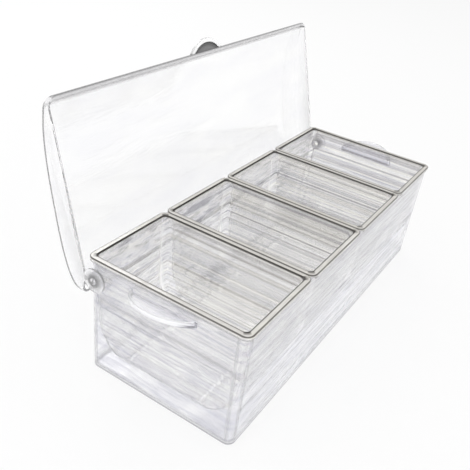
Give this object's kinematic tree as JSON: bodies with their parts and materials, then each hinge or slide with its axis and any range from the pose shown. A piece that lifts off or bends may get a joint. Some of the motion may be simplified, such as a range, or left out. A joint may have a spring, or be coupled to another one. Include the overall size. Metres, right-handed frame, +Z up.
{
  "type": "chilled condiment caddy",
  "caption": "Clear plastic ice tub with cupped end grips, lift-out flanged dishes hung on its rim, and one arched lid that swings back on two hinge pins.",
  "frame": {"origin": "centre of the tub's underside, on the table", "axes": "+X along the length to the right-hand end, +Y to the hinge side at the back, +Z up"},
  "size_m": [0.4402, 0.1966, 0.2541],
  "materials": {
    "tub_clear": "clear gloss moulded polystyrene",
    "dish_clear": "clear gloss moulded polystyrene",
    "lid_clear": "clear gloss moulded polystyrene"
  },
  "bodies": {
    "tub_body": {"tub": "tub_clear", "hinge_pin_left": "lid_clear", "hinge_pin_right": "lid_clear"},
    "dish_1_body": {"dish_1": "dish_clear"},
    "dish_2_body": {"dish_2": "dish_clear"},
    "dish_3_body": {"dish_3": "dish_clear"},
    "dish_4_body": {"dish_4": "dish_clear"},
    "lid_body": {"lid": "lid_clear"}
  },
  "joints": [
    {"name": "lid_hinge", "type": "hinge", "parent": "tub_body", "child": "lid_body", "pos_m": [0, 0.0665, 0.098], "axis": [-1, 0, 0], "range_deg": [-102, 0]},
    {"name": "dish_1_lift", "type": "slide", "parent": "tub_body", "child": "dish_1_body", "axis": [0, 0, 1], "range_m": [0, 0.1]},
    {"name": "dish_2_lift", "type": "slide", "parent": "tub_body", "child": "dish_2_body", "axis": [0, 0, 1], "range_m": [0, 0.1]},
    {"name": "dish_3_lift", "type": "slide", "parent": "tub_body", "child": "dish_3_body", "axis": [0, 0, 1], "range_m": [0, 0.1]},
    {"name": "dish_4_lift", "type": "slide", "parent": "tub_body", "child": "dish_4_body", "axis": [0, 0, 1], "range_m": [0, 0.1]}
  ]
}
